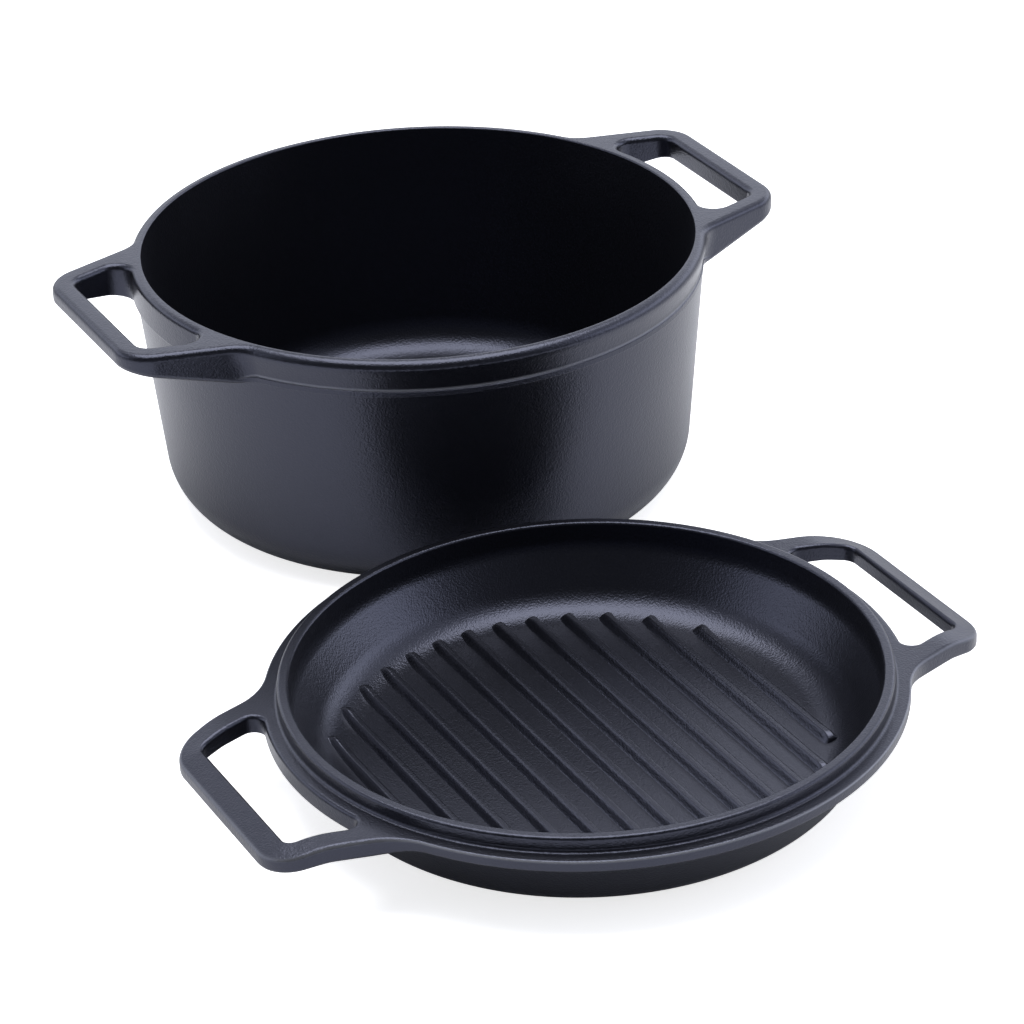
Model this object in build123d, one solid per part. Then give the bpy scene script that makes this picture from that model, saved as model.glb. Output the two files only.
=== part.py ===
from build123d import *
import math
import os

# A cast-iron cooking pot and its grill-pan lid, in millimetres, +Z up.
# The origin is the middle of the pot's base, and the handles lie along X.
# Each casting is one piece of iron, its two loop handles included. The lid is a
# shallow ribbed pan: turned over, it covers the pot, and its upright ring drops into
# the mouth. It lies beside the pot, ribs up, as it does when both are in use.

# Sizes that the pot and the lid share
rim_radius = 130.0
rim_land = 5.3
mouth_clearance = 1.0
handle_overhang = 32.0
handle_bar = 10.4
handle_arm = 10.6
handle_tip_width = 95.0
handle_side_angle = 16.7
handle_tip_corner = 18.0
top_edge_round = 2.0
gap_under_chamfer = 1.2

# Pot body
pot_height = 117.7
pot_wall = 4.7
pot_draft_angle = 5.3
pot_base_thickness = 5.5
pot_base_round = 23.0
band_height = 14.0
band_step = 1.5
band_step_angle = 45.0
mouth_edge_chamfer = 0.5

# Pot handles
pot_root_round = 17.0
pot_gap_corner = 7.5
pot_handle_tip_depth = 8.5
pot_handle_under_angle = 12.0
pot_handle_under_end = 108.5
pot_handle_under_blend = 13.0
pot_handle_edge_round = 2.4

# Lid body, as it lies with its ribs up
lid_x = -56.2
lid_y = -256.0
lid_turn = 0.7
ring_top = 41.0
ring_height = 6.3
ring_wall = 4.7
ring_top_round = 1.4
ring_bore_chamfer = 0.9
flange_thickness = 5.0
flange_edge_chamfer = 1.2
flange_overhang = 5.4
lid_wall_angle = 31.1
lid_wall = 4.8
lid_base_round = 15.5
lid_floor_thickness = 5.5
lid_floor_round = 20.0
lid_shoulder_round = 12.0

# Lid handles, which bend down so that fingers fit between them and the pot's handles
lid_root_round = 32.0
lid_lower_root_round = 18.0
lid_gap_corner = 5.0
lid_handle_root_depth = 8.0
lid_handle_tip_depth = 6.4
lid_handle_slope = 15.0
lid_handle_bend_start = 5.0
lid_handle_bend_radius = 45.0
lid_handle_edge_round = 1.8

# Grill ribs
rib_count = 13
rib_pitch = 14.33
rib_row_shift = -2.5
rib_width = 7.0
rib_height = 3.8
rib_side_angle = 28.0
rib_crest_round = 1.4
rib_foot_round = 1.6
rib_end_round = 3.0
rib_circle_radius = 101.0

# Lengths that only make solids run into each other, and never show
overlap = 1.0
root_inset = 0.4
foot_sink = 0.1

# Sizes that follow from those above
mouth_radius = rim_radius - rim_land
handle_reach = rim_radius + handle_overhang
gap_reach = handle_reach - handle_bar
step_reach = rim_radius + handle_overhang / 4
side_slope = math.tan(math.radians(handle_side_angle))
pot_draft = math.tan(math.radians(pot_draft_angle))
lid_draft = math.tan(math.radians(lid_wall_angle))
band_bottom = pot_height - band_height
band_step_slope = math.tan(math.radians(band_step_angle))
pot_under_slope = math.tan(math.radians(pot_handle_under_angle))
lid_handle_drop = math.tan(math.radians(lid_handle_slope))
flange_top = ring_top - ring_height
flange_bottom = flange_top - flange_thickness
ring_radius = mouth_radius - mouth_clearance
ring_inner_radius = ring_radius - ring_wall


def pot_wall_radius(z):
    """Outer radius of the pot's tapering wall at a height z."""
    return rim_radius - band_step - pot_draft * (band_bottom - z)


def lid_wall_radius(z):
    """Outer radius of the lid's sloping wall at a height z."""
    return rim_radius - flange_overhang - lid_draft * (flange_bottom - z)


def corners_near(face, points):
    """The vertices of a flat face that lie at the given points."""
    return [v for v in face.vertices() for x, y in points if math.hypot(v.X - x, v.Y - y) < 0.01]


def rounded_profile(points, rounds):
    """A closed polygon whose corners with the given numbers are rounded."""
    face = make_face(Polyline(*points, close=True))
    for number, radius in rounds.items():
        face = fillet(corners_near(face, [points[number]]), radius)
    return face


def turned(profile):
    """A solid turned about Z from a profile of radius and height."""
    return revolve(Plane.XZ * profile, Axis.Z)


def side_cut(profile):
    """A block wider than the castings with this side view, mirrored to both handles."""
    block = extrude(Plane.XZ * profile, 2 * handle_reach, both=True)
    return block + mirror(block, about=Plane.YZ)


def tongue(x_in, x_out, inset):
    """Top view of a handle's straight-sided tongue, inset from its sides."""
    y_in = handle_tip_width / 2 + side_slope * (handle_reach - x_in) - inset
    y_out = handle_tip_width / 2 + side_slope * (handle_reach - x_out) - inset
    return make_face(Polyline((x_in, y_in), (x_out, y_out), (x_out, -y_out), (x_in, -y_in), close=True))


def outline(radius, root_round):
    """Top view of the round body with both handles flaring out of it."""
    tongues = tongue(0, handle_reach, 0) + mirror(tongue(0, handle_reach, 0), about=Plane.YZ)
    plan = Circle(radius) + tongues
    tips = [v for v in plan.vertices() if abs(v.X) > radius]
    plan = fillet(tips, handle_tip_corner)
    roots = [v for v in plan.vertices() if abs(math.hypot(v.X, v.Y) - radius) < 0.01]
    return fillet(roots, root_round)


def gap(radius, corner):
    """Top view of the opening inside one loop handle."""
    opening = tongue(0, gap_reach, handle_arm) - Circle(radius)
    return fillet(opening.vertices(), corner)


def stepped(upper_plan, lower_plan, levels):
    """One plan above another, with a sloping step between them that fades out on the handles."""
    top, step_top, step_bottom, bottom = levels
    middle = Rectangle(2 * step_reach, 2 * rim_radius)
    high = Plane.XY.offset(step_top) * (upper_plan & middle)
    low = Plane.XY.offset(step_bottom) * (lower_plan & middle)
    upper = extrude(Plane.XY.offset(step_top) * upper_plan, top - step_top)
    tips = extrude(Plane.XY.offset(step_bottom) * (upper_plan - middle), step_top - step_bottom)
    lower = extrude(Plane.XY.offset(bottom) * lower_plan, step_bottom - bottom)
    return upper + tips + loft([low, high], ruled=True) + lower


def handle_edges(rim, facing, root_x):
    """Edges of the faces that look up (1) or down (-1), apart from those across the roots."""
    edges = ShapeList()
    for face in rim.faces():
        normal = face.normal_at()
        box = face.bounding_box()
        if normal.Z * facing > 0.1 and abs(normal.Y) < 0.01 and max(box.max.X, -box.min.X) > root_x:
            edges += [e for e in face.edges() if not is_crosswise(e)]
    return edges


def gap_edges(rim, facing):
    """Edges round the handles' openings, on the faces that look up (1) or down (-1)."""
    edges = ShapeList()
    for edge in handle_edges(rim, facing, rim_radius):
        middle = edge.position_at(0.5)
        half_width = handle_tip_width / 2 + side_slope * (handle_reach - abs(middle.X)) - handle_arm
        if abs(middle.Y) < half_width + handle_arm / 2 and abs(middle.X) < gap_reach + handle_bar / 2:
            edges.append(edge)
    return edges


def loop_handles(rim, root_x, under_round, corner):
    """Round the outer edges of both handles, then open them and break the openings' edges."""
    rim = fillet(handle_edges(rim, -1, root_x), under_round)
    rim = fillet(handle_edges(rim, 1, rim_radius), top_edge_round)
    opening = extrude(gap(rim_radius, corner), pot_height + overlap)
    rim = rim - opening - mirror(opening, about=Plane.YZ)
    rim = chamfer(gap_edges(rim, -1), gap_under_chamfer)
    return fillet(gap_edges(rim, 1), top_edge_round)


def is_crosswise(edge):
    """True for a straight edge that runs across a handle's arms or its root."""
    middle = edge.position_at(0.5)
    straight = edge.geom_type == GeomType.LINE and abs(edge.tangent_at(0.5).Y) > 0.999
    return straight and abs(middle.X) < (rim_radius + gap_reach) / 2


def pot_turned():
    """The pot's tapering wall and base, without the rim band."""
    wall_top = pot_wall_radius(band_bottom + overlap)
    points = [
        (0, 0),
        (pot_wall_radius(0), 0),
        (wall_top, band_bottom + overlap),
        (0, band_bottom + overlap),
    ]
    return turned(rounded_profile(points, {1: pot_base_round}))


def pot_cavity():
    """The inside of the pot, a constant wall in from its outside."""
    wall = pot_wall / math.cos(math.radians(pot_draft_angle))
    floor_radius = pot_wall_radius(pot_base_thickness) - wall
    lip = (mouth_radius - floor_radius) / (pot_height - pot_base_thickness)
    points = [
        (0, pot_base_thickness),
        (floor_radius, pot_base_thickness),
        (mouth_radius + lip * overlap, pot_height + overlap),
        (0, pot_height + overlap),
    ]
    return turned(rounded_profile(points, {1: pot_base_round - pot_wall}))


def pot_handle_side():
    """Side view that the pot's handles keep: flat on top, falling inwards underneath."""
    tip_bottom = pot_height - pot_handle_tip_depth
    root_bottom = tip_bottom - pot_under_slope * (handle_reach - pot_handle_under_end)
    points = [
        (0, pot_height + overlap),
        (handle_reach + overlap, pot_height + overlap),
        (handle_reach + overlap, tip_bottom + pot_under_slope * overlap),
        (pot_handle_under_end, root_bottom),
        (pot_handle_under_end, root_bottom - 2 * pot_handle_under_blend),
        (0, root_bottom - 2 * pot_handle_under_blend),
    ]
    return rounded_profile(points, {3: pot_handle_under_blend})


def pot_rim():
    """Rim band and handles of the pot, with the handles' undersides rounded."""
    root_level = pot_height - pot_handle_tip_depth
    root_level -= pot_under_slope * (handle_reach - pot_handle_under_end) + pot_handle_under_blend
    lower_radius = pot_wall_radius(root_level) - root_inset
    step_top = band_bottom + band_step / band_step_slope
    step_bottom = step_top - (rim_radius - lower_radius) / band_step_slope
    levels = (pot_height, step_top, step_bottom, root_level)
    upper = (rim_radius, pot_root_round)
    lower = (lower_radius, pot_root_round)
    rim = stepped(outline(*upper), outline(*lower), levels) & side_cut(pot_handle_side())
    return loop_handles(rim, pot_handle_under_end + overlap, pot_handle_edge_round, pot_gap_corner)


def circle_edges(solid, radius, z):
    """The edges of a solid that lie on a circle about Z at a height z."""
    found = ShapeList()
    for edge in solid.edges():
        p = edge.position_at(0.5)
        if abs(math.hypot(p.X, p.Y) - radius) < 0.01 and abs(p.Z - z) < 0.01:
            found.append(edge)
    return found


def build_pot():
    """The pot: one casting with its two loop handles level with the rim."""
    pot = pot_rim() + pot_turned() - pot_cavity()
    return chamfer(circle_edges(pot, mouth_radius, pot_height), mouth_edge_chamfer)


def lid_turned():
    """The lid's base, sloping wall and upright ring, without the flange."""
    points = [
        (0, 0),
        (lid_wall_radius(0), 0),
        (lid_wall_radius(flange_bottom), flange_bottom),
        (lid_wall_radius(flange_bottom), flange_bottom + overlap),
        (ring_radius, flange_bottom + overlap),
        (ring_radius, ring_top),
        (0, ring_top),
    ]
    return turned(rounded_profile(points, {1: lid_base_round, 5: ring_top_round}))


def lid_cavity():
    """The inside of the lid: flat floor, sloping wall and the bore of the ring."""
    wall = lid_wall / math.cos(math.radians(lid_wall_angle))
    shoulder = flange_bottom - (lid_wall_radius(flange_bottom) - wall - ring_inner_radius) / lid_draft
    points = [
        (0, lid_floor_thickness),
        (lid_wall_radius(lid_floor_thickness) - wall, lid_floor_thickness),
        (ring_inner_radius, shoulder),
        (ring_inner_radius, ring_top + overlap),
        (0, ring_top + overlap),
    ]
    return turned(rounded_profile(points, {1: lid_floor_round, 2: lid_shoulder_round}))


def lid_rim_side():
    """Side view that the lid's flange and handles keep: flat, then bending down."""
    bend = rim_radius + lid_handle_bend_start
    bend += lid_handle_bend_radius * math.tan(math.radians(lid_handle_slope / 2))
    past_tip = handle_reach + overlap
    tip_top = flange_top - lid_handle_drop * (past_tip - bend)
    root_bottom = flange_top - lid_handle_root_depth
    points = [
        (0, flange_top),
        (bend, flange_top),
        (past_tip, tip_top),
        (past_tip, tip_top - lid_handle_tip_depth),
        (bend, root_bottom),
        (0, root_bottom),
    ]
    under_bend = lid_handle_bend_radius - lid_handle_root_depth
    return rounded_profile(points, {1: lid_handle_bend_radius, 4: under_bend})


def lid_rim():
    """Flange and handles of the lid, with the handles' undersides rounded."""
    root_level = flange_top - lid_handle_root_depth
    lower_radius = lid_wall_radius(root_level) - root_inset
    bottom = flange_bottom - handle_overhang
    levels = (flange_top, flange_bottom + flange_edge_chamfer, flange_bottom, bottom)
    upper = (rim_radius, lid_root_round)
    lower = (lower_radius, lid_lower_root_round)
    rim = stepped(outline(*upper), outline(*lower), levels) & side_cut(lid_rim_side())
    return loop_handles(rim, rim_radius, lid_handle_edge_round, lid_gap_corner)


def rib_across():
    """Cross-section of a rib: sloping sides and a rounded crest, sunk into the floor."""
    foot = lid_floor_thickness - foot_sink
    crest = lid_floor_thickness + rib_height
    half_crest = rib_width / 2 - math.tan(math.radians(rib_side_angle)) * (crest - foot)
    points = [
        (-rib_width, foot - foot_sink),
        (rib_width, foot - foot_sink),
        (rib_width, foot),
        (rib_width / 2, foot),
        (half_crest, crest),
        (-half_crest, crest),
        (-rib_width / 2, foot),
        (-rib_width, foot),
    ]
    rounds = {3: rib_foot_round, 4: rib_crest_round, 5: rib_crest_round, 6: rib_foot_round}
    return rounded_profile(points, rounds)


def rib_along(half_length):
    """Side view of a rib: its ends slope up at 45 degrees to a rounded shoulder."""
    foot = lid_floor_thickness - foot_sink
    crest = lid_floor_thickness + rib_height
    half_crest = half_length - (crest - foot)
    points = [
        (-half_length, foot - overlap),
        (half_length, foot - overlap),
        (half_length, foot),
        (half_crest, crest),
        (-half_crest, crest),
        (-half_length, foot),
    ]
    return rounded_profile(points, {3: rib_end_round, 4: rib_end_round})


def grill_ribs():
    """Parallel ribs, set across the handles' line and ending on a circle."""
    ribs = []
    for number in range(rib_count):
        x = rib_pitch * (number - (rib_count - 1) / 2)
        half_length = math.sqrt(rib_circle_radius**2 - x**2)
        bar = extrude(Plane.XZ * rib_across(), half_length, both=True)
        bar = bar & extrude(Plane.YZ * rib_along(half_length), 2 * rib_width, both=True)
        ribs.append(Pos(rib_row_shift + x, 0, 0) * bar)
    return ribs


def build_lid():
    """The lid: one casting, a ribbed pan whose ring fits the pot's mouth."""
    lid = lid_rim() + lid_turned() - lid_cavity()
    lid = chamfer(circle_edges(lid, ring_inner_radius, ring_top), ring_bore_chamfer)
    return lid + grill_ribs()


def save(solid, name):
    export_step(solid, f"parts/{name}.step")


os.makedirs("parts", exist_ok=True)
save(build_pot(), "pot")
save(Pos(lid_x, lid_y, 0) * Rot(0, 0, lid_turn) * build_lid(), "grill_lid")
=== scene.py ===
import math

import bmesh
import bpy
import numpy as np
from mathutils import Matrix, Vector
from mathutils.geometry import delaunay_2d_cdt


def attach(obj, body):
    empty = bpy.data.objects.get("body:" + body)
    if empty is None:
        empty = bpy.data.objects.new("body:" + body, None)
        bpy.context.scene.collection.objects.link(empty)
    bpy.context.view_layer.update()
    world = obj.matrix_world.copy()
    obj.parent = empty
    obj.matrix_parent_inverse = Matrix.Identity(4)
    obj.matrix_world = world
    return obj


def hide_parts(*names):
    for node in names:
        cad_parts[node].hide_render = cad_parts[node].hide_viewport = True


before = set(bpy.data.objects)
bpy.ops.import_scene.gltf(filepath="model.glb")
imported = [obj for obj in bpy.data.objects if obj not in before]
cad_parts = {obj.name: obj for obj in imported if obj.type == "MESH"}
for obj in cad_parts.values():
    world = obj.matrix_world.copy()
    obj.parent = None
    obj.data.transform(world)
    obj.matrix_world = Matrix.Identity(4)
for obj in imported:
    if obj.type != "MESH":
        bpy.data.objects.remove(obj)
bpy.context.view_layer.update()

scene = bpy.context.scene

# Camera: a long lens on a stand in front of the pot, a little to its left, looking down
# at both castings. Its place and turn were fitted to the rims, handles and ribs.
camera_place = Vector((-0.6450, -1.3824, 0.8067))
camera_heading = Vector((0.44463, 0.89573, 0.0)).normalized()
camera_pitch = math.radians(28.64)
camera_roll = math.radians(-2.5)
look = camera_heading * math.cos(camera_pitch) - Vector((0, 0, math.sin(camera_pitch)))
level_right = look.cross(Vector((0, 0, 1))).normalized()
level_up = level_right.cross(look)
right = level_right * math.cos(camera_roll) + level_up * math.sin(camera_roll)
up = right.cross(look)
camera_data = bpy.data.cameras.new("camera")
camera_data.sensor_width = 36.0
camera_data.lens = 130.2
camera_data.clip_end = 50.0
camera = bpy.data.objects.new("camera", camera_data)
camera.matrix_world = Matrix.Translation(camera_place) @ Matrix((right, up, -look)).transposed().to_4x4()
scene.collection.objects.link(camera)
scene.camera = camera
scene.view_settings.view_transform = "Standard"

# Table: a wide white studio table top with a matt face, lit from below as well, so that
# the shadows on it stay light. It is not part of the object and gives the white background.
table_half = 6.0
table_white = (0.94, 0.94, 0.95, 1)
table_glow = 0.75
corners = [(-table_half, -table_half, 0), (table_half, -table_half, 0)]
corners += [(table_half, table_half, 0), (-table_half, table_half, 0)]
table_mesh = bpy.data.meshes.new("table_top")
table_mesh.from_pydata(corners, [], [(0, 1, 2, 3)])
table = bpy.data.objects.new("table_top", table_mesh)
scene.collection.objects.link(table)
table_paint = bpy.data.materials.new("white_table_paint")
table_paint.use_nodes = True
table_shader = table_paint.node_tree.nodes["Principled BSDF"]
table_shader.inputs["Base Color"].default_value = table_white
table_shader.inputs["Roughness"].default_value = 0.9
table_shader.inputs["Specular IOR Level"].default_value = 0.0
table_tree = table_paint.node_tree
glow = table_tree.nodes.new("ShaderNodeEmission")
glow.inputs["Color"].default_value = (1, 1, 1, 1)
table_path = table_tree.nodes.new("ShaderNodeLightPath")
glow_seen = table_tree.nodes.new("ShaderNodeMath")
glow_seen.operation = "MULTIPLY"
glow_seen.inputs[1].default_value = table_glow
table_tree.links.new(table_path.outputs["Is Camera Ray"], glow_seen.inputs[0])
table_tree.links.new(glow_seen.outputs["Value"], glow.inputs["Strength"])
table_sum = table_tree.nodes.new("ShaderNodeAddShader")
table_tree.links.new(table_shader.outputs["BSDF"], table_sum.inputs[0])
table_tree.links.new(glow.outputs["Emission"], table_sum.inputs[1])
table_tree.links.new(table_sum.outputs["Shader"], table_tree.nodes["Material Output"].inputs["Surface"])
table_paint.cycles.emission_sampling = "NONE"
table_mesh.materials.append(table_paint)

# Room: a pale studio tent, bright in a band round its walls, dimmer near the table and over
# the object, and dark on the side where the photographer stands. Each span is where one level
# passes into the next, as the cosine to a direction. The camera itself sees the room white.
room_colour = (0.87, 0.90, 1.0, 1)
wall_level = 1.85
ceiling_level = 0.6
wall_top_span = (0.46, 0.58)
wall_foot_span = (0.02, 0.32)
wall_foot_share = 0.22
dark_side_span = (0.15, 0.55)
dark_side_share = 0.07
right_side_span = (0.0, 0.7)
right_side_gain = 1.45
world = bpy.data.worlds.new("studio_room")
world.use_nodes = True
scene.world = world
room = world.node_tree
room.nodes.clear()


def room_node(kind, **settings):
    """A node of the room's tree with its own settings."""
    node = room.nodes.new(kind)
    for setting, value in settings.items():
        setattr(node, setting, value)
    return node


def room_slope(toward, first, last, low, high):
    """How bright the room is along one direction: a smooth step of the dot product with it."""
    dot = room_node("ShaderNodeVectorMath", operation="DOT_PRODUCT")
    room.links.new(room_way.outputs["Generated"], dot.inputs[0])
    dot.inputs[1].default_value = toward
    step = room_node("ShaderNodeMapRange", interpolation_type="SMOOTHSTEP")
    room.links.new(dot.outputs["Value"], step.inputs["Value"])
    for socket, value in (("From Min", first), ("From Max", last), ("To Min", low), ("To Max", high)):
        step.inputs[socket].default_value = value
    return step.outputs["Result"]


room_way = room_node("ShaderNodeTexCoord")
room_level = room_slope(-camera_heading, *dark_side_span, 1.0, dark_side_share)
for slope in (
    room_slope(level_right, *right_side_span, 1.0, right_side_gain),
    room_slope((0, 0, 1), *wall_top_span, wall_level, ceiling_level),
    room_slope((0, 0, 1), *wall_foot_span, wall_foot_share, 1.0),
):
    product = room_node("ShaderNodeMath", operation="MULTIPLY")
    room.links.new(room_level, product.inputs[0])
    room.links.new(slope, product.inputs[1])
    room_level = product.outputs["Value"]
room_light = room_node("ShaderNodeBackground")
room_light.inputs["Color"].default_value = room_colour
room.links.new(room_level, room_light.inputs["Strength"])
room_seen = room_node("ShaderNodeBackground")
room_seen.inputs["Color"].default_value = (1, 1, 1, 1)
room_seen.inputs["Strength"].default_value = 1.0
room_path = room_node("ShaderNodeLightPath")
seen_or_light = room_node("ShaderNodeMixShader")
room.links.new(room_path.outputs["Is Camera Ray"], seen_or_light.inputs["Fac"])
room.links.new(room_light.outputs["Background"], seen_or_light.inputs[1])
room.links.new(room_seen.outputs["Background"], seen_or_light.inputs[2])
room_out = room_node("ShaderNodeOutputWorld")
room.links.new(seen_or_light.outputs["Shader"], room_out.inputs["Surface"])

# Softbox: one large lamp with a white cloth front, hung over the object, a little behind its
# middle, and facing down at it.
softbox_behind = 0.2
softbox_height = 2.0
softbox_width = 1.9
softbox_depth = 1.7
softbox_power = 44
softbox_place = camera_heading * softbox_behind + Vector((0, 0, softbox_height))
softbox_lamp = bpy.data.lights.new("overhead_softbox", "AREA")
softbox_lamp.shape = "RECTANGLE"
softbox_lamp.size = softbox_width
softbox_lamp.size_y = softbox_depth
softbox_lamp.energy = softbox_power
softbox = bpy.data.objects.new("overhead_softbox", softbox_lamp)
softbox.location = softbox_place
softbox.rotation_euler = (-softbox_place).to_track_quat("-Z", "Y").to_euler()
scene.collection.objects.link(softbox)

# Cast iron: both castings are poured in sand and seasoned with oil, so the iron is near black
# and satin, with the fine grain of the sand all over it. A pale bare-iron colour is painted on
# some edges: a painted highlight on the pot's ledge, and wear plus painted highlight on the lid's flange.
grain_starts = {"Grain Scale": 1150.0, "Lump Scale": 420.0, "Stain Scale": 22.0, "Lump Share": 0.35}
grain_depth = 0.00019
iron_dark = (0.0012, 0.0013, 0.0020, 1)
iron_light = (0.0075, 0.0077, 0.0098, 1)
# Pale bare-iron colour: painted highlight on edges, and also wear on the lid's flange.
highlight_and_bare_iron = (0.16, 0.165, 0.18, 1)
oil_index = 1.5
oil_level = 0.75
oil_tint = (0.70, 0.74, 1.0, 1)
oil_roughness = (0.26, 0.34)


def sand_grain_group():
    """Cast surface: fine sand grain, coarser lumps and slow stains. The height is a blend of
    grain and lumps, the tone is the grain alone, and the stain goes to the gloss."""
    tree = bpy.data.node_groups.new("sand_cast_grain", "ShaderNodeTree")
    face = tree.interface
    for name, start in grain_starts.items():
        face.new_socket(name, in_out="INPUT", socket_type="NodeSocketFloat").default_value = start
    for name in ("Height", "Tone", "Stain"):
        face.new_socket(name, in_out="OUTPUT", socket_type="NodeSocketFloat")
    inputs = tree.nodes.new("NodeGroupInput")
    outputs = tree.nodes.new("NodeGroupOutput")
    place = tree.nodes.new("ShaderNodeTexCoord")

    def noise(scale_name, detail, roughness):
        """Noise on the casting's own coordinates, at one of the group's scales."""
        node = tree.nodes.new("ShaderNodeTexNoise")
        node.inputs["Detail"].default_value = detail
        node.inputs["Roughness"].default_value = roughness
        tree.links.new(place.outputs["Object"], node.inputs["Vector"])
        tree.links.new(inputs.outputs[scale_name], node.inputs["Scale"])
        return node.outputs["Fac"]

    grain = noise("Grain Scale", 1.0, 0.5)
    lumps = noise("Lump Scale", 2.0, 0.6)
    stain = noise("Stain Scale", 3.0, 0.55)
    blend = tree.nodes.new("ShaderNodeMix")
    tree.links.new(inputs.outputs["Lump Share"], blend.inputs["Factor"])
    tree.links.new(grain, blend.inputs["A"])
    tree.links.new(lumps, blend.inputs["B"])
    tree.links.new(blend.outputs["Result"], outputs.inputs["Height"])
    tree.links.new(grain, outputs.inputs["Tone"])
    tree.links.new(stain, outputs.inputs["Stain"])
    return tree


def seasoned_iron(name):
    """Near-black satin iron with the cast grain in its tone and bump and the stains in its
    gloss. The mesh's share of painted highlight and wear mixes the tone towards pale bare iron."""
    material = bpy.data.materials.new(name)
    material.use_nodes = True
    tree = material.node_tree
    shader = tree.nodes["Principled BSDF"]
    shader.inputs["IOR"].default_value = oil_index
    shader.inputs["Specular IOR Level"].default_value = oil_level
    shader.inputs["Specular Tint"].default_value = oil_tint
    grain = tree.nodes.new("ShaderNodeGroup")
    grain.node_tree = bpy.data.node_groups["sand_cast_grain"]
    tone = tree.nodes.new("ShaderNodeMix")
    tone.data_type = "RGBA"
    tone.inputs["A"].default_value = iron_dark
    tone.inputs["B"].default_value = iron_light
    tree.links.new(grain.outputs["Tone"], tone.inputs["Factor"])
    # Painted highlight and wear: the mesh's share mixes the tone towards the pale bare-iron colour.
    highlight_and_wear = tree.nodes.new("ShaderNodeAttribute")
    highlight_and_wear.attribute_name = "highlight_and_wear"
    highlight_and_wear_mix = tree.nodes.new("ShaderNodeMix")
    highlight_and_wear_mix.data_type = "RGBA"
    highlight_and_wear_mix.inputs["B"].default_value = highlight_and_bare_iron
    tree.links.new(highlight_and_wear.outputs["Fac"], highlight_and_wear_mix.inputs["Factor"])
    tree.links.new(tone.outputs["Result"], highlight_and_wear_mix.inputs["A"])
    tree.links.new(highlight_and_wear_mix.outputs["Result"], shader.inputs["Base Color"])
    gloss = tree.nodes.new("ShaderNodeMapRange")
    gloss.inputs["To Min"].default_value, gloss.inputs["To Max"].default_value = oil_roughness
    tree.links.new(grain.outputs["Stain"], gloss.inputs["Value"])
    tree.links.new(gloss.outputs["Result"], shader.inputs["Roughness"])
    bump = tree.nodes.new("ShaderNodeBump")
    bump.inputs["Distance"].default_value = grain_depth
    bump.inputs["Strength"].default_value = 1.0
    tree.links.new(grain.outputs["Height"], bump.inputs["Height"])
    tree.links.new(bump.outputs["Normal"], shader.inputs["Normal"])
    return material


sand_grain_group()

# Loop-handled rims: each casting's rim and its two handles are one shape in the mould. Seen
# from above it is a circle that flares into two straight-sided loops, the same on the pot and
# on the lid, so that the two pairs of handles lie on each other when the pot is closed.
rim_radius = 0.130
handle_reach = 0.162
handle_half_tip = 0.0475
handle_side_angle = math.radians(16.7)
handle_tip_corner = 0.018
handle_arm = 0.0106
gap_reach = 0.1516
sharp_edge_angle = math.radians(40)
top_edge_rows = 7
under_edge_rows = 5
pole_radius = 0.002
handle_tip = np.array([handle_reach, handle_half_tip])
side_out = np.array([math.sin(handle_side_angle), math.cos(handle_side_angle)])
side_along = np.array([-math.cos(handle_side_angle), math.sin(handle_side_angle)])
side_turn = math.pi / 2 - handle_side_angle


def arc(centre, radius, start, stop, count):
    """An arc: points at a radius round a centre, at even angles, and the unit vectors to them."""
    angle = np.linspace(start, stop, count)[:, None]
    unit = np.hstack([np.cos(angle), np.sin(angle)])
    return centre + radius * unit, unit


def line(start, stop, out, count):
    """A straight run of even points, all with the same outward vector."""
    share = np.linspace(0, 1, count)[:, None]
    return start + share * (stop - start), np.tile(out, (count, 1))


def on_circle(offset, distance):
    """The point at this offset from a handle's side line and this distance from the middle."""
    foot = handle_tip + offset * side_out
    half = foot @ side_along
    return foot + (-half - math.sqrt(half**2 - foot @ foot + distance**2)) * side_along


def chained(pieces):
    """Runs joined end to end, each without the last point, which the next run starts with."""
    return [np.vstack([piece[k][:-1] for piece in pieces]) for k in (0, 1)]


def rim_outline(root_round):
    """The rim seen from above: tip line, tip corner, side line, root arc and rim circle, for
    a quarter, then mirrored. Gives points, outward vectors and a weight, 1 on the handles."""
    corner_y = handle_half_tip + handle_tip_corner * (side_out[0] - 1) / side_out[1]
    corner = np.array([handle_reach - handle_tip_corner, corner_y])
    root = on_circle(root_round, rim_radius + root_round)
    root_turn = math.atan2(root[1], root[0])
    root_arc, root_unit = arc(root, -root_round, side_turn, root_turn, 40)
    pieces = [
        line(np.array([handle_reach, 0]), np.array([handle_reach, corner_y]), np.array([1.0, 0]), 24),
        arc(corner, handle_tip_corner, 0, side_turn, 28),
        line(corner + handle_tip_corner * side_out, root - root_round * side_out, side_out, 24),
        (root_arc, root_unit),
        arc(np.zeros(2), rim_radius, root_turn, math.pi / 2, 90),
    ]
    share = [np.ones(len(piece[0]) - 1) for piece in pieces[:3]]
    fade = np.linspace(1, 0, len(root_arc))[:-1]
    share += [fade * fade * (3 - 2 * fade), np.zeros(len(pieces[4][0]) - 1)]
    points, out = chained(pieces)
    points = np.vstack([points, [[0, rim_radius]]])
    out = np.vstack([out, [[0, 1.0]]])
    share = np.append(np.concatenate(share), 0)
    turns = [(1, 1, 1), (-1, 1, -1), (-1, -1, 1), (1, -1, -1)]
    points = np.vstack([(points[::step] * (x, y))[:-1] for x, y, step in turns])
    out = np.vstack([(out[::step] * (x, y))[:-1] for x, y, step in turns])
    return points, out, np.concatenate([share[::step][:-1] for x, y, step in turns])


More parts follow.
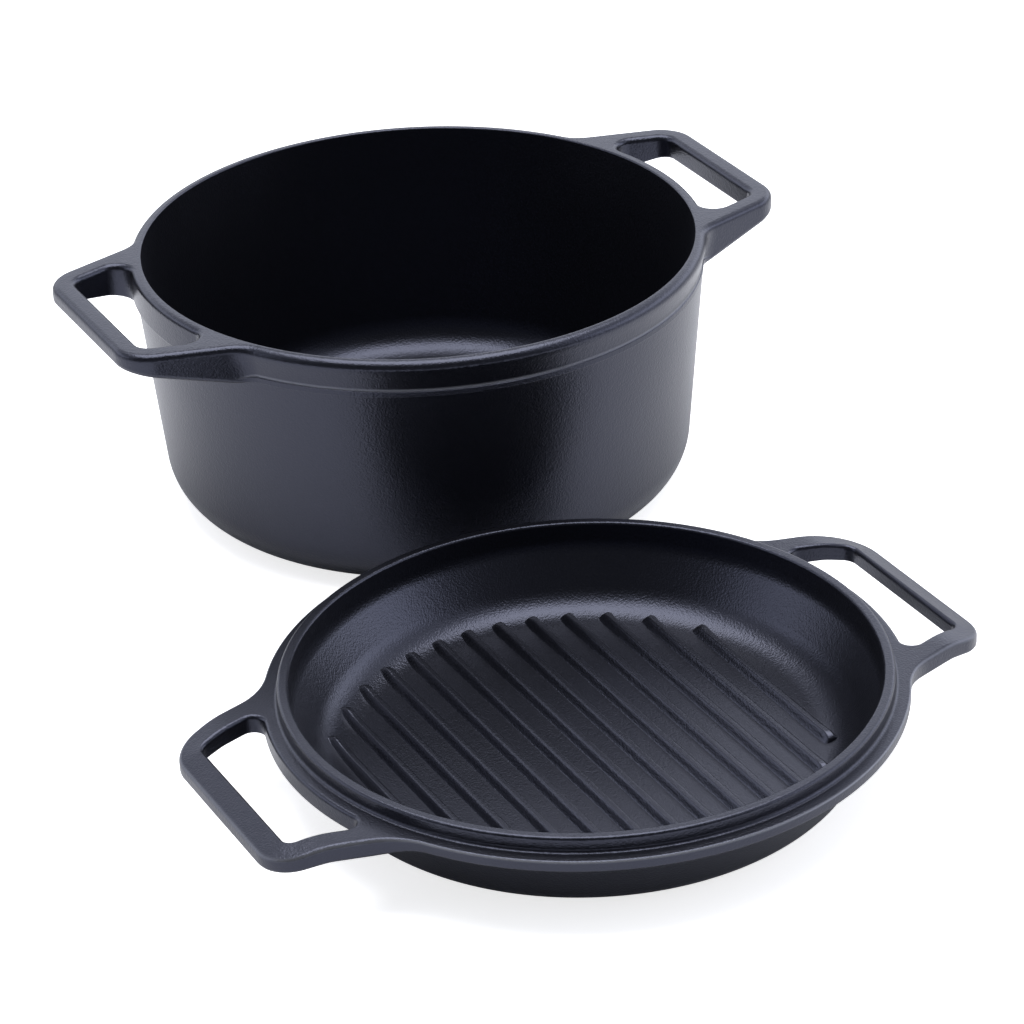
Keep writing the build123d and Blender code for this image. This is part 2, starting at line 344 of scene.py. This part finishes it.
def gap_outline(corner_round, facing):
    """The opening of the handle on the +X (1) or -X (-1) side: tip line, corner, side line,
    corner and rim circle, then mirrored. Its vectors point into the opening."""
    inset = -handle_arm - corner_round
    corner_x = gap_reach - corner_round
    corner_y = handle_half_tip + (inset - (corner_x - handle_reach) * side_out[0]) / side_out[1]
    corner = np.array([corner_x, corner_y])
    inner = on_circle(inset, rim_radius + corner_round)
    inner_turn = math.atan2(inner[1], inner[0])
    tip_points, tip_unit = arc(corner, corner_round, 0, side_turn, 16)
    inner_points, inner_unit = arc(inner, corner_round, side_turn, inner_turn + math.pi, 24)
    pieces = [
        line(np.array([gap_reach, 0]), np.array([gap_reach, corner_y]), np.array([-1.0, 0]), 20),
        (tip_points, -tip_unit),
        line(corner + corner_round * side_out, inner + corner_round * side_out, -side_out, 14),
        (inner_points, -inner_unit),
        arc(np.zeros(2), rim_radius, inner_turn, 0, 24),
    ]
    points, out = chained(pieces)
    points = np.vstack([points, [[rim_radius, 0]]])
    out = np.vstack([out, [[1.0, 0]]])
    points = np.vstack([points[:-1], (points[::-1] * (1, -1))[:-1]]) * (facing, 1)
    out = np.vstack([out[:-1], (out[::-1] * (1, -1))[:-1]]) * (facing, 1)
    return points, out


def grid_faces(first, rows, count):
    """Quads of a grid of closed rows whose vertices are numbered row by row from a first one."""
    row, column = np.meshgrid(np.arange(rows - 1), np.arange(count), indexing="ij")
    after = (column + 1) % count
    a, b = first + row * count + column, first + row * count + after
    return np.stack([a, b, b + count, a + count], axis=-1).reshape(-1, 4)


def filled(outer, holes, flip):
    """Triangles of a flat region between one closed row of vertices and the holes in it."""
    loops = [outer] + holes
    plan = np.vstack([loop[1][:, :2] for loop in loops])
    numbers = np.concatenate([loop[0] for loop in loops])
    edges = []
    first = 0
    for loop in loops:
        count = len(loop[0])
        edges += [(first + k, first + (k + 1) % count) for k in range(count)]
        first += count
    spots, _, faces, origin, _, _ = delaunay_2d_cdt([Vector(p) for p in plan], edges, [], 0, 1e-9)
    picked = [[numbers[origin[v][0]] for v in face] for face in faces]
    middles = np.array([np.mean([spots[v] for v in face], axis=0) for face in faces])
    keep = inside(middles, loops[0][1])
    for hole in holes:
        keep &= ~inside(middles, hole[1])
    return [face[::flip] for face, kept in zip(picked, keep) if kept]


def inside(points, loop):
    """Which points lie inside a closed row: an odd number of its edges crosses to their right."""
    x, y = points[:, 0][:, None], points[:, 1][:, None]
    ax, ay = loop[:, 0], loop[:, 1]
    bx, by = np.roll(ax, -1), np.roll(ay, -1)
    crosses = (ay > y) != (by > y)
    with np.errstate(divide="ignore", invalid="ignore"):
        at = ax + (y - ay) / (by - ay) * (bx - ax)
    return (crosses & (x < at)).sum(axis=1) % 2 == 1


def raised(plan, height):
    """Plan points with their heights."""
    return np.column_stack([plan, np.broadcast_to(height, len(plan))])


def edge_rows(points, out, top, top_round, sides, bottom, bottom_round):
    """Rows down the side of an outline: over the top edge, down the side, under the bottom edge.
    A rounded edge is a quarter turn: inset r(1 - sin t) and drop r(1 - cos t). Each entry of
    sides is a pair of inset and height."""
    rows = []
    for turn in np.linspace(0, math.pi / 2, top_edge_rows):
        inset = (top_round * (1 - math.sin(turn)))[:, None]
        rows.append(raised(points - inset * out, top - top_round * (1 - math.cos(turn))))
    for inset, height in sides:
        rows.append(raised(points - np.broadcast_to(inset, len(points))[:, None] * out, height))
    for turn in np.linspace(0, math.pi / 2, under_edge_rows):
        inset = (bottom_round * (1 - math.cos(turn)))[:, None]
        rows.append(raised(points - inset * out, bottom + bottom_round * (1 - math.sin(turn))))
    return rows


def turned_rows(profile, turns):
    """Rows of a turned surface: each profile point of radius and height, at the given angles."""
    circle = np.column_stack([np.cos(turns), np.sin(turns)])
    return [raised(radius * circle, height) for radius, height in profile]


def corner_arc(radius, height, corner_round, start, stop, count):
    """A rounded corner of a profile: its centre's radius and height, and its angles in degrees."""
    turn = np.radians(np.linspace(start, stop, count))
    return np.column_stack([radius + corner_round * np.cos(turn), height + corner_round * np.sin(turn)])


def flat_middle(radius, height, count):
    """The flat end of a profile, from a radius in to the small circle that a fan closes."""
    return np.column_stack([np.linspace(radius, pole_radius, count + 1)[1:], np.full(count, height)])


def body_outside(start, wall_at, lean, base_round, counts):
    """Profile of a body's outside from a start point down: a straight wall, a rounded edge that
    is tangent to it, and the flat base. Counts are the points of each."""
    centre = wall_at(base_round) - base_round / math.cos(lean)
    corner = corner_arc(centre, base_round, base_round, -math.degrees(lean), -90, counts[1])
    wall = np.linspace(np.array(start), corner[0], counts[0])[:-1]
    return np.vstack([wall, corner, flat_middle(centre, 0.0, counts[2])])


def placed(spots, place, turn):
    """Points turned about Z and moved to a place on the table."""
    turned = np.array([[math.cos(turn), math.sin(turn)], [-math.sin(turn), math.cos(turn)]])
    return np.column_stack([spots[:, :2] @ turned + place, spots[:, 2]])


class Shell:
    """The vertices and faces of one casting while its runs of closed rows are put together."""

    def __init__(self):
        self.rows = []
        self.highlight_and_wear = []
        self.count = 0
        self.faces = []

    def add(self, rows, highlight_and_wear=None):
        """Adds closed rows and the quads between them; gives (numbers, points) of both ends.
        The last argument is each row's share of pale bare-iron colour, painted highlight and wear, none
        where it isn't given."""
        first, size = self.count, len(rows[0])
        self.rows += rows
        self.highlight_and_wear += highlight_and_wear or [np.zeros(size)] * len(rows)
        self.count += size * len(rows)
        self.faces += grid_faces(first, len(rows), size).tolist()
        last = self.count - size
        return (np.arange(first, first + size), rows[0]), (np.arange(last, last + size), rows[-1])

    def add_gaps(self, corner_round, edge_round, top_at, under_at):
        """Adds the walls of both handle openings; gives their upper and their lower ends."""
        tops, unders = [], []
        for facing in (1, -1):
            gap, into = gap_outline(corner_round, facing)
            rounds = np.full(len(gap), edge_round)
            height, under = top_at(gap[:, 0]), under_at(gap[:, 0])
            upper, lower = self.add(edge_rows(gap, into, height, rounds, [], under, rounds / 2))
            tops.append(upper)
            unders.append(lower)
        return tops, unders

    def close_pole(self, end):
        """Closes a small last row with a fan of triangles to its middle."""
        numbers, points = end
        self.rows.append(points.mean(axis=0)[None, :])
        self.highlight_and_wear.append(np.zeros(1))
        centre = self.count
        self.count += 1
        self.faces += [(a, b, centre) for a, b in zip(numbers, np.roll(numbers, -1))]

    def join(self, name, place, turn):
        """The finished mesh, turned about Z, moved to its place, with its faces outward."""
        mesh = bpy.data.meshes.new(name)
        mesh.from_pydata(placed(np.vstack(self.rows), place, turn).tolist(), [], self.faces)
        shape = bmesh.new()
        shape.from_mesh(mesh)
        bmesh.ops.recalc_face_normals(shape, faces=shape.faces)
        shape.to_mesh(mesh)
        shape.free()
        mesh.validate()
        # The share of painted highlight and wear, read by the iron's material.
        highlight_and_wear = mesh.attributes.new("highlight_and_wear", "FLOAT", "POINT")
        highlight_and_wear.data.foreach_set("value", np.concatenate(self.highlight_and_wear))
        return mesh


def cast_piece(name, mesh, body, material, node=None):
    """An object for a mesh of the casting, with smooth curves, on its body and slot."""
    mesh.shade_smooth()
    mesh.set_sharp_from_angle(angle=sharp_edge_angle)
    mesh.materials.append(material)
    piece = bpy.data.objects.new(name, mesh)
    scene.collection.objects.link(piece)
    weighted = piece.modifiers.new("face_weighted_normals", "WEIGHTED_NORMAL")
    weighted.keep_sharp = True
    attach(piece, body)
    if node:
        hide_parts(node)
    return piece


# Pot: one iron casting, a deep body with a slight draft, a rim band with a ledge under it, and
# flat loop handles level with the rim whose undersides fall towards the wall. The sand's grain
# is left all over it, and the edge of the ledge has a painted highlight, a thin pale line.
pot_height = 0.1177
pot_wall_draft = math.radians(5.3)
pot_wall_top = 0.1037
pot_wall_top_radius = 0.1285
pot_wall_tuck = 0.00005
pot_base_round = 0.023
pot_floor_height = 0.0055
pot_floor_radius = 0.11467
pot_floor_round = 0.0183
pot_mouth_radius = 0.1247
pot_mouth_round = 0.0008
pot_rim_round = 0.0038
pot_root_round = 0.017
pot_handle_top_round = 0.0030
pot_handle_under_round = 0.0024
pot_handle_tip_under = 0.1092
pot_handle_under_slope = math.radians(12)
pot_gap_corner = 0.0075
pot_gap_round = 0.0027
pot_band_end = pot_height - 0.0134
pot_band_taper = 0.0022
pot_ledge_drop = 0.0008
pot_ledge_middle = 0.0015
pot_ledge_foot = 0.0030
pot_wall_start = 0.0034
# Painted highlight: the pale share on the rows at the band's foot and the ledge's edge.
pot_ledge_highlight = (0.9, 1.0, 0.5)
least_round = 1e-5


def pot_wall_at(height):
    """Outer radius of the pot's wall at a height: a straight line with the wall's draft."""
    return pot_wall_top_radius - math.tan(pot_wall_draft) * (pot_wall_top - height)


def pot_top_at(x):
    """Height of the pot handles' tops: level with the rim."""
    return np.full(len(x), pot_height)


def pot_under_at(x):
    """Height of the pot handles' undersides: a straight fall from the tip towards the wall."""
    return pot_handle_tip_under - math.tan(pot_handle_under_slope) * (handle_reach - np.abs(x))


def pot_rim_rows(points, out, share):
    """Rows over the pot's top edge, down the band and in over its ledge. Every inset and height
    is the rim's plus the share times the step to the handle's. Gives rows and their painted highlight."""
    top_round = pot_rim_round + (pot_handle_top_round - pot_rim_round) * share
    round_end = pot_height - top_round
    under = pot_under_at(points[:, 0])
    sides = []
    for drop, taper in ((0.25, 0.3), (0.55, 0.6), (0.92, 0.95), (1.0, 1.0)):
        on_rim = round_end + drop * (pot_band_end - round_end)
        on_handle = round_end + drop * (under + pot_handle_under_round - round_end)
        sides.append((pot_band_taper * taper * (1 - share), on_rim + (on_handle - on_rim) * share))
    band_foot = sides[-1][1]
    ledge_inset = rim_radius - pot_wall_at(pot_band_end - pot_ledge_middle)
    for step_out, step_down in ((0.1, 0.5), (0.35, 0.8), (0.7, 0.95), (0.92, 1.1)):
        inset = pot_band_taper - step_out * (pot_band_taper - ledge_inset)
        sides.append((inset * (1 - share), band_foot - step_down * pot_ledge_drop * (1 - share)))
    bottom = (pot_band_end - pot_ledge_foot) * (1 - share) + under * share
    under_round = np.maximum(pot_handle_under_round * share, least_round)
    rows = edge_rows(points, out, pot_height, top_round, sides, bottom, under_round)
    for row in rows[-under_edge_rows:]:
        row[:, :2] -= ledge_inset * (1 - share)[:, None] * out
    # Painted highlight: three rows at the band's foot and the ledge's edge get the pale bare-iron share.
    highlight_and_wear = [np.zeros(len(points))] * len(rows)
    first_highlight_row = top_edge_rows + 3
    highlight_and_wear[first_highlight_row:first_highlight_row + 3] = [level * (1 - share) for level in pot_ledge_highlight]
    return rows, highlight_and_wear


def pot_inside():
    """Profile of the pot's inside: a small edge round, a straight wall with draft, a rounded
    corner and the flat floor."""
    lip_radius = pot_mouth_radius + pot_mouth_round
    lip = corner_arc(lip_radius, pot_height - pot_mouth_round, pot_mouth_round, 90, 180, 6)
    draft = math.atan2(pot_mouth_radius - pot_floor_radius, pot_height - pot_floor_height)
    centre = pot_floor_radius + pot_floor_round * (math.tan(draft) - 1 / math.cos(draft))
    height = pot_floor_height + pot_floor_round
    corner = corner_arc(centre, height, pot_floor_round, -math.degrees(draft), -90, 24)
    wall = np.linspace(lip[-1], corner[0], 8)[1:-1]
    return np.vstack([lip, wall, corner, flat_middle(centre, pot_floor_height, 11)])


def pot_casting_mesh():
    """The whole pot as one closed surface: rows down the rim's outline and the handles' openings,
    turned rows for the inside and the outside, and flat fills between them above and below."""
    shell = Shell()
    points, out, share = rim_outline(pot_root_round)
    turns = np.unwrap(np.arctan2(points[:, 1], points[:, 0]))
    rim_top, rim_under = shell.add(*pot_rim_rows(points, out, share))
    gap_tops, gap_unders = shell.add_gaps(pot_gap_corner, pot_gap_round, pot_top_at, pot_under_at)
    mouth, floor_end = shell.add(turned_rows(pot_inside(), turns))
    shell.close_pole(floor_end)
    start = (pot_wall_at(pot_band_end - pot_wall_start) - pot_wall_tuck, pot_band_end - pot_wall_start)
    outside = body_outside(start, pot_wall_at, pot_wall_draft, pot_base_round, (8, 26, 7))
    wall_row, base_end = shell.add(turned_rows(outside, turns))
    shell.close_pole(base_end)
    shell.faces += filled(rim_top, gap_tops + [mouth], 1)
    shell.faces += filled(rim_under, gap_unders + [wall_row], -1)
    return shell.join("pot_casting", (0, 0), 0)


pot_iron = seasoned_iron("pot_seasoned_iron")
cast_piece("pot_casting", pot_casting_mesh(), "pot", pot_iron, "pot")

# Lid: one iron casting, a shallow pan standing on the table. Its upright ring drops into the
# pot's mouth when it is turned over, and its handles bend down so that fingers fit between the
# two pairs. The flange's upper edge is pale bare iron, partly wear where the pot's rim rubs it
# and partly a painted highlight; the handles' edges get half of it.
lid_place = np.array([-0.0562, -0.2560])
lid_turn = math.radians(0.7)
lid_root_round = 0.032
lid_flange_top = 0.0347
lid_flange_bottom = 0.0297
lid_flange_top_round = 0.0010
lid_flange_under_round = 0.0012
# Wear and painted highlight: the pale share over the flange's rounded top edge.
lid_edge_wear_and_highlight = (0.5, 1.0, 1.0, 0.5)
lid_handle_round = 0.0018
lid_handle_bend_start = 0.135
lid_handle_bend = 0.045
lid_handle_slope = math.radians(15)
lid_handle_under = 0.0267
lid_under_bend_start = 0.1409
lid_under_fall = 0.1955
lid_under_softness = 3e-6
lid_gap_corner = 0.005
lid_ring_top = 0.041
lid_ring_radius = 0.1237
lid_ring_bore = 0.119
lid_ring_root_round = 0.0016
lid_ring_top_round = 0.0014
lid_ring_bore_round = 0.0012
lid_shoulder_round = 0.012
lid_shoulder_height = 0.03305
lid_wall_lean = math.radians(31.1)
lid_wall_radius = 0.1246
lid_wall_inner_radius = 0.118994
lid_wall_start = 0.0262
lid_floor_height = 0.0055
lid_floor_round = 0.020
lid_base_round = 0.0155


def lid_top_at(x):
    """Height of the lid handles' tops: level, then a bend, then a straight slope."""
    past = np.abs(x) - lid_handle_bend_start
    bent = lid_handle_bend * math.sin(lid_handle_slope)
    drop = lid_handle_bend - np.sqrt(lid_handle_bend**2 - np.clip(past, 0, bent) ** 2)
    return lid_flange_top - drop - math.tan(lid_handle_slope) * np.maximum(past - bent, 0)


def lid_under_at(x):
    """Height of the lid handles' undersides: level, then sloping down past a soft bend."""
    past = np.abs(x) - lid_under_bend_start
    return lid_handle_under - lid_under_fall * (past + np.sqrt(past**2 + lid_under_softness)) / 2


def lid_wall_at(height):
    """Outer radius of the lid's wall at a height: a straight line with the wall's lean."""
    return lid_wall_radius - math.tan(lid_wall_lean) * (lid_flange_bottom - height)


def lid_floor_corner():
    """The rounded corner between the lid's floor and its sloping inner wall: the radius where the
    flat floor ends, which is the arc's centre, and the arc's profile."""
    height = lid_floor_height + lid_floor_round
    wall = lid_wall_inner_radius - math.tan(lid_wall_lean) * (lid_flange_bottom - height)
    centre = wall - lid_floor_round / math.cos(lid_wall_lean)
    return centre, corner_arc(centre, height, lid_floor_round, -math.degrees(lid_wall_lean), -90, 20)


def lid_rim_rows(points, out, share):
    """Rows over the flange's top edge and under its lower edge. Every height and round is the
    flange's plus the share times the step to the handle's. Gives rows and their wear and painted
    highlight."""
    top_round = lid_flange_top_round + (lid_handle_round - lid_flange_top_round) * share
    under = lid_flange_bottom + (lid_under_at(points[:, 0]) - lid_flange_bottom) * share
    under_round = lid_flange_under_round + (lid_handle_round - lid_flange_under_round) * share
    rows = edge_rows(points, out, lid_top_at(points[:, 0]), top_round, [], under, under_round)
    # Wear and painted highlight: four rows over the top edge, half as much on the handles.
    highlight_and_wear = [np.zeros(len(points))] * len(rows)
    highlight_and_wear[2:6] = [level * (1 - share / 2) for level in lid_edge_wear_and_highlight]
    return rows, highlight_and_wear


def lid_inside():
    """Profile of the lid's top: the ring's root, its outer and inner edges, a rounded shoulder
    onto the sloping wall, the floor's corner and the flat floor."""
    root_round, top_round, bore_round = lid_ring_root_round, lid_ring_top_round, lid_ring_bore_round
    root = corner_arc(lid_ring_radius + root_round, lid_flange_top + root_round, root_round, 270, 180, 8)
    ring_out = corner_arc(lid_ring_radius - top_round, lid_ring_top - top_round, top_round, 0, 90, 8)
    ring_in = corner_arc(lid_ring_bore + bore_round, lid_ring_top - bore_round, bore_round, 90, 180, 8)
    lean = math.degrees(lid_wall_lean)
    shoulder_centre = lid_ring_bore - lid_shoulder_round
    shoulder = corner_arc(shoulder_centre, lid_shoulder_height, lid_shoulder_round, 0, -lean, 10)
    centre, corner = lid_floor_corner()
    return np.vstack([root, ring_out, ring_in, shoulder, corner, flat_middle(centre, lid_floor_height, 6)])


def lid_casting_mesh():
    """The whole lid but its ribs as one closed surface, put together in the way of the pot's."""
    shell = Shell()
    points, out, share = rim_outline(lid_root_round)
    turns = np.unwrap(np.arctan2(points[:, 1], points[:, 0]))
    rim_top, rim_under = shell.add(*lid_rim_rows(points, out, share))
    gap_tops, gap_unders = shell.add_gaps(lid_gap_corner, lid_handle_round, lid_top_at, lid_under_at)
    ring_root, floor_end = shell.add(turned_rows(lid_inside(), turns))
    shell.close_pole(floor_end)
    start = (lid_wall_at(lid_wall_start), lid_wall_start)
    outside = body_outside(start, lid_wall_at, lid_wall_lean, lid_base_round, (6, 16, 4))
    wall_row, base_end = shell.add(turned_rows(outside, turns))
    shell.close_pole(base_end)
    shell.faces += filled(rim_top, gap_tops + [ring_root], 1)
    shell.faces += filled(rim_under, gap_unders + [wall_row], -1)
    return shell.join("lid_casting", lid_place, lid_turn)


lid_iron = seasoned_iron("lid_seasoned_iron")
cast_piece("lid_casting", lid_casting_mesh(), "lid", lid_iron, "grill_lid")

# Grill ribs: thirteen low ridges cast in one with the lid's floor, evenly spaced and cut to a
# circle a little wider than the flat floor, so that their ends run up into its rounded corner.
rib_count = 13
rib_pitch = 0.01433
rib_shift = -0.0025
rib_circle = 0.101
rib_end = 0.006
rib_height = 0.0037
rib_sink = 0.00035
rib_half_width = 0.0042
rib_half_crest = 0.0008
rib_side = 0.0031
floor_corner_end = 0.0199


def lid_ribs_mesh():
    """The ribs: the floor's own height plus a crest across times a rounded end along. Across,
    the side falls as a smooth step; along, the end is a quarter ellipse."""
    floor_end, _ = lid_floor_corner()
    across = np.linspace(-rib_half_width, rib_half_width, 25)
    side = np.clip((np.abs(across) - rib_half_crest) / rib_side, 0, 1)
    crest = 1 - side * side * (3 - 2 * side)
    spots, faces = [], []
    for number in range(rib_count):
        reach = rib_pitch * (number - (rib_count - 1) / 2)
        half = math.sqrt(rib_circle**2 - reach**2)
        ends = half - rib_end * (1 - np.sin(np.linspace(0, math.pi / 2, 12)))
        middle = np.linspace(rib_end - half, half - rib_end, 40)[1:-1]
        along = np.sort(np.concatenate([-ends, middle, ends]))
        near_end = np.clip((half - np.abs(along)) / rib_end, 0, 1)
        end = np.sqrt(np.clip(1 - (1 - near_end) ** 2, 0, 1))
        x = reach + rib_shift + across[:, None] + 0 * along
        y = 0 * across[:, None] + along
        past = np.clip(np.hypot(x, y) - floor_end, 0, floor_corner_end)
        floor = lid_floor_height + lid_floor_round - np.sqrt(lid_floor_round**2 - past**2)
        z = floor - rib_sink + rib_height * crest[:, None] * end
        spots.append(np.stack([x, y, z], axis=-1).reshape(-1, 3))
        first = number * len(across) * len(along)
        row, column = np.meshgrid(np.arange(len(across) - 1), np.arange(len(along) - 1), indexing="ij")
        a = first + row * len(along) + column
        faces.append(np.stack([a, a + len(along), a + len(along) + 1, a + 1], axis=-1).reshape(-1, 4))
    mesh = bpy.data.meshes.new("lid_ribs")
    mesh.from_pydata(placed(np.vstack(spots), lid_place, lid_turn).tolist(), [], np.vstack(faces).tolist())
    return mesh


cast_piece("lid_ribs", lid_ribs_mesh(), "lid", lid_iron)
